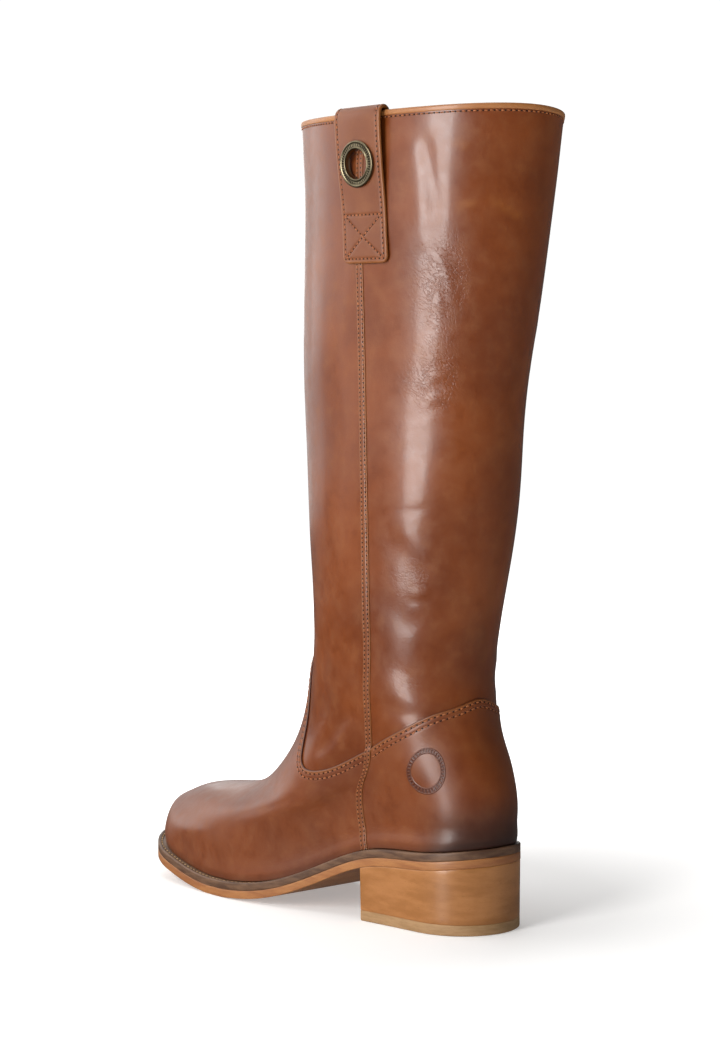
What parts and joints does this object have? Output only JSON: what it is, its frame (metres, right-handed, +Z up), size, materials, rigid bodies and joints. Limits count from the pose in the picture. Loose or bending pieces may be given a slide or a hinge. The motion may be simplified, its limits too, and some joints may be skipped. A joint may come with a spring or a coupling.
{
  "type": "knee-high riding boot",
  "caption": "Pull-on knee-high leather riding boot for the left foot, with a round toe, low block heel, side seam and a wide pull strap with a metal eyelet.",
  "frame": {"origin": "on the floor under the middle of the boot's own box", "axes": "+Z up, toe toward -Y, outer (lateral) side toward +X"},
  "size_m": [0.1069, 0.2963, 0.4193],
  "materials": {
    "upper_leather": "polished cognac pull-up leather, darker and burnished at heel and toe, soft creases",
    "strap_leather": "polished tan leather, edge stitched",
    "eyelet_metal": "antiqued brass, dark in the hollows",
    "insole_leather": "natural tan leather lining and insole",
    "welt_leather": "grey-brown stitched leather welt",
    "sole_leather": "natural tan leather edge, satin",
    "heel_wood": "waxed light brown, fine grain and small knots",
    "lift_rubber": "matt pale tan"
  },
  "bodies": {
    "root": {"upper": "upper_leather", "vamp": "upper_leather", "heel_counter": "upper_leather", "pull_strap": "strap_leather", "eyelet": "eyelet_metal", "insole": "insole_leather", "welt": "welt_leather", "outsole": "sole_leather", "heel_block": "heel_wood", "top_lift": "lift_rubber"}
  },
  "joints": []
}
